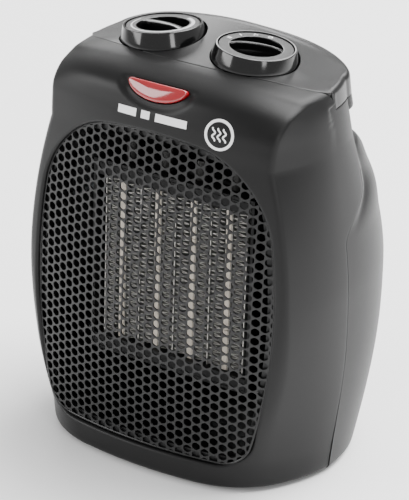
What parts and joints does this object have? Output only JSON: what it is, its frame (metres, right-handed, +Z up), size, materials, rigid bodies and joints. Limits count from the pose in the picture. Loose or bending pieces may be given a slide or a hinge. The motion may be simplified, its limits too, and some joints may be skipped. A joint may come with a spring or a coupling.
{
  "type": "ceramic space heater",
  "caption": "Compact upright ceramic fan heater with a curved perforated grille, a barrel-shaped casing, two tilted rotary controls on top and a rear grip recess.",
  "frame": {"origin": "centre of the bounding box at the surface the feet stand on", "axes": "+X to the viewer's right when facing the grille, -Y out of the grille, +Z up"},
  "size_m": [0.191, 0.161, 0.2402],
  "materials": {
    "casing": "satin",
    "panel": "satin",
    "black_steel": "semi-gloss",
    "gloss_black": "gloss",
    "dark_plastic": "matt",
    "lens_red": "gloss",
    "lamp": "gloss",
    "white_ink": "matt",
    "silver_trim": "satin",
    "zinc_steel": "bright",
    "ceramic": "matt",
    "aluminium_fin": "mill",
    "brass_tab": "bright",
    "white_sleeve": "woven",
    "copper_coil": "enamelled",
    "bronze": "sintered",
    "lamination": "oxidised",
    "natural_nylon": "satin",
    "red_insulation": "satin",
    "rubber": "matt"
  },
  "bodies": {
    "casing": {"front_shell": "casing", "rear_shell": "casing", "top_panel": "panel", "grille_mesh": "black_steel", "grille_ring": "dark_plastic", "indicator_lens": "lens_red", "indicator_lamp": "lamp", "front_marking": "white_ink", "thermostat_bezel": "gloss_black", "mode_bezel": "gloss_black", "control_bracket": "zinc_steel", "thermostat_body": "ceramic", "rotary_switch_body": "dark_plastic", "heater_duct": "dark_plastic", "ptc_strips": "ceramic", "ptc_fins": "aluminium_fin", "ptc_plates": "aluminium_fin", "ptc_end_holders": "dark_plastic", "ptc_terminals": "brass_tab", "insulating_sleeves": "white_sleeve", "thermal_cutout": "dark_plastic", "fan_shroud": "dark_plastic", "motor_stator": "lamination", "motor_coil": "copper_coil", "motor_brackets": "zinc_steel", "motor_bearings": "bronze", "tip_switch_body": "dark_plastic", "tip_spring": "zinc_steel", "terminal_block": "natural_nylon", "lead_wires": "red_insulation", "cord_gland": "gloss_black", "intake_filter": "dark_plastic", "rubber_feet": "rubber", "case_screws": "zinc_steel", "motor_screws": "zinc_steel"},
    "fan_rotor": {"fan_impeller": "dark_plastic", "fan_shaft": "zinc_steel", "motor_rotor": "lamination"},
    "thermostat_control": {"thermostat_knob": "gloss_black", "thermostat_shaft": "zinc_steel", "thermostat_dial_ring": "silver_trim"},
    "mode_control": {"mode_knob": "gloss_black", "mode_shaft": "zinc_steel", "mode_dial_marks": "white_ink"},
    "tip_plunger": {"tip_plunger": "natural_nylon"},
    "tip_lever": {"tip_lever": "zinc_steel"}
  },
  "joints": [
    {"name": "fan_spin", "type": "hinge", "parent": "casing", "child": "fan_rotor", "pos_m": [0, 0.004, 0.105], "axis": [0, 1, 0], "continuous": true},
    {"name": "thermostat_turn", "type": "hinge", "parent": "casing", "child": "thermostat_control", "pos_m": [-0.0308, -0.0085, 0.238], "axis": [-0.087, 0.0523, 0.9948], "range_deg": [-270, 0]},
    {"name": "mode_turn", "type": "hinge", "parent": "casing", "child": "mode_control", "pos_m": [0.0308, -0.0085, 0.238], "axis": [0.087, 0.0523, 0.9948], "range_deg": [-84, 0]},
    {"name": "tip_slide", "type": "slide", "parent": "casing", "child": "tip_plunger", "axis": [0, 0, 1], "range_m": [-0.005, 0], "stiffness_N_per_m": 40, "springref_m": -0.012},
    {"name": "tip_lever_turn", "type": "hinge", "parent": "casing", "child": "tip_lever", "pos_m": [-0.033, 0.014, 0.0202], "axis": [0, 1, 0], "range_deg": [-27, 0.5]}
  ],
  "couplings": [
    {"joint": "tip_lever_turn", "follows": "tip_slide", "rad_per_m": 90}
  ]
}
